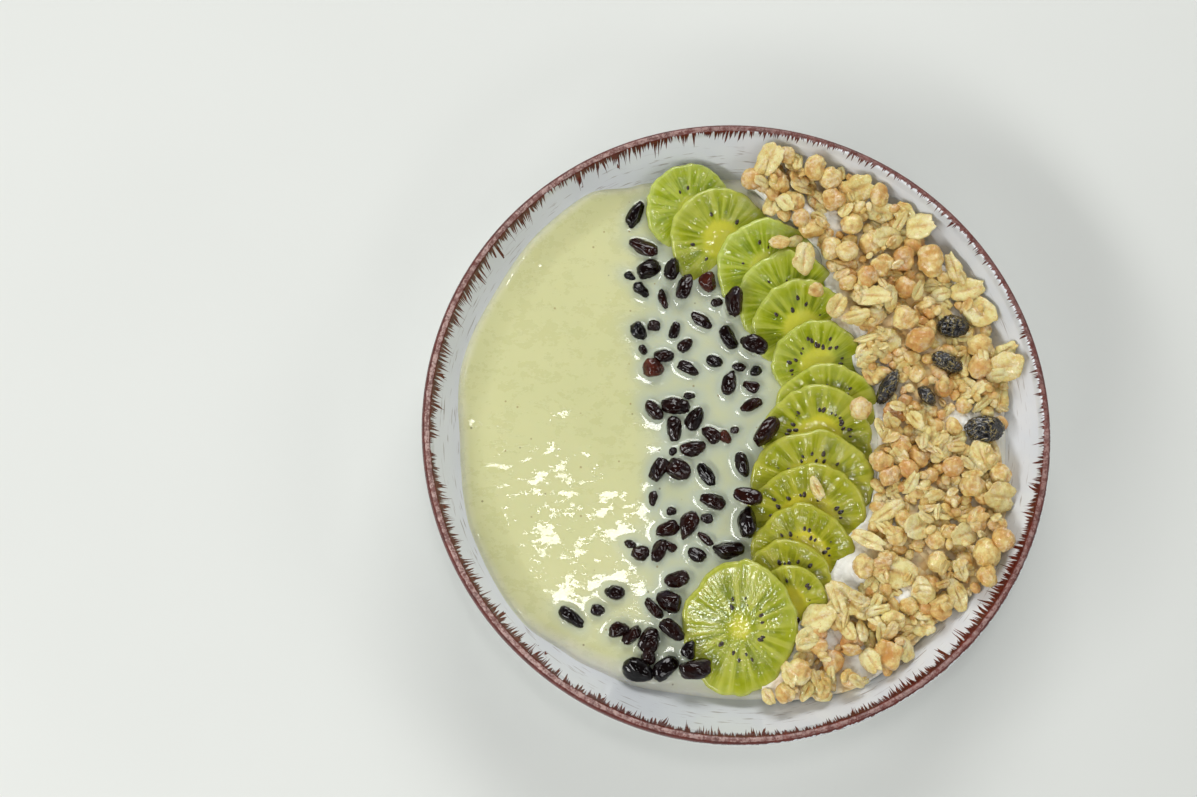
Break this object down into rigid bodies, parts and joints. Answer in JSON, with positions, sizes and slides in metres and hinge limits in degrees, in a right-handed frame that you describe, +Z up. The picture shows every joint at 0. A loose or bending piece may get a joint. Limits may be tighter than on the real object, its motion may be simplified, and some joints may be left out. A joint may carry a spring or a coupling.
{
  "type": "smoothie bowl",
  "caption": "Shallow round stoneware bowl filled with smoothie, topped with a row of dark berries, a row of overlapping kiwi slices and a bank of granola.",
  "frame": {"origin": "centre of the bowl's foot, on the table", "axes": "+Z up along the bowl's axis; +X towards the granola; +Y towards the first kiwi slice"},
  "size_m": [0.2158, 0.2158, 0.0439],
  "materials": {
    "glaze": "glossy grey-white glaze with a worn dark brown brushed rim",
    "smoothie": "wet pale yellow-green smoothie with fine specks",
    "kiwi": "wet translucent green kiwi flesh with pale rays and a yellow core",
    "granola": "dry toasted oat flakes and puffed grains",
    "oat": "dry pale toasted grain",
    "raisin": "wrinkled dried fruit, satin",
    "berry": "glossy near-black dried berries"
  },
  "bodies": {
    "root": {"bowl": "glaze", "smoothie": "smoothie", "granola": "granola", "kiwi_01": "kiwi", "kiwi_02": "kiwi", "kiwi_03": "kiwi", "kiwi_04": "kiwi", "kiwi_05": "kiwi", "kiwi_06": "kiwi", "kiwi_07": "kiwi", "kiwi_08": "kiwi", "kiwi_09": "kiwi", "kiwi_10": "kiwi", "kiwi_11": "kiwi", "kiwi_12": "kiwi", "kiwi_13": "kiwi", "kiwi_14": "kiwi", "raisin_01": "raisin", "raisin_02": "raisin", "raisin_03": "raisin", "raisin_04": "raisin", "raisin_05": "raisin", "grain_01": "oat", "grain_02": "oat", "grain_03": "oat", "grain_04": "oat", "grain_05": "oat", "berry_01": "berry", "berry_02": "berry", "berry_03": "berry", "berry_04": "berry", "berry_05": "berry", "berry_06": "berry", "berry_07": "berry", "berry_08": "berry", "berry_09": "berry", "berry_10": "berry", "berry_11": "berry", "berry_12": "berry", "berry_13": "berry", "berry_14": "berry", "berry_15": "berry", "berry_16": "berry", "berry_17": "berry", "berry_18": "berry", "berry_19": "berry", "berry_20": "berry", "berry_21": "berry", "berry_22": "berry", "berry_23": "berry", "berry_24": "berry", "berry_25": "berry", "berry_26": "berry", "berry_27": "berry", "berry_28": "berry", "berry_29": "berry", "berry_30": "berry", "berry_31": "berry", "berry_32": "berry", "berry_33": "berry"}
  },
  "joints": []
}
